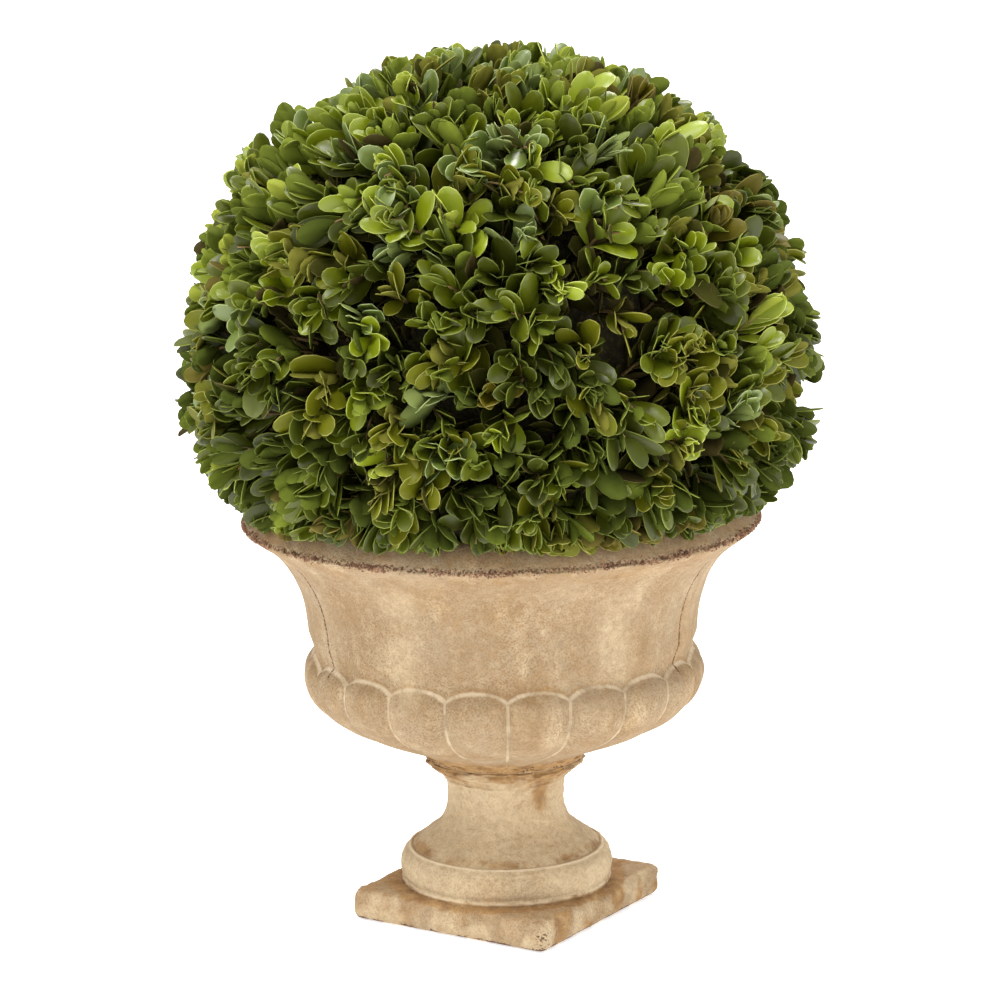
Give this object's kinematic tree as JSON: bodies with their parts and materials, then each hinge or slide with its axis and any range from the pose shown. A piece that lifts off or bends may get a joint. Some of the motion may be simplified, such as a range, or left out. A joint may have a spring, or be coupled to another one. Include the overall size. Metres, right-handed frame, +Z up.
{
  "type": "box topiary ball in a pedestal urn",
  "caption": "Clipped ball of small-leaved box on a short stem, potted in a turned pedestal urn with a gadrooned belly, rolled rim and square plinth.",
  "frame": {"origin": "centre of the square underside of the plinth, which stands on level ground", "axes": "+Z up along the axis of the urn, X and Y along the sides of the plinth"},
  "size_m": [0.2768, 0.278, 0.381],
  "materials": {
    "urn": "matte",
    "soil": "matte",
    "bark": "matte",
    "leaf": "satin"
  },
  "bodies": {
    "root": {"urn_pedestal": "urn", "urn_bowl": "urn", "soil": "soil", "stem": "bark", "foliage_ball": "leaf"}
  },
  "joints": []
}
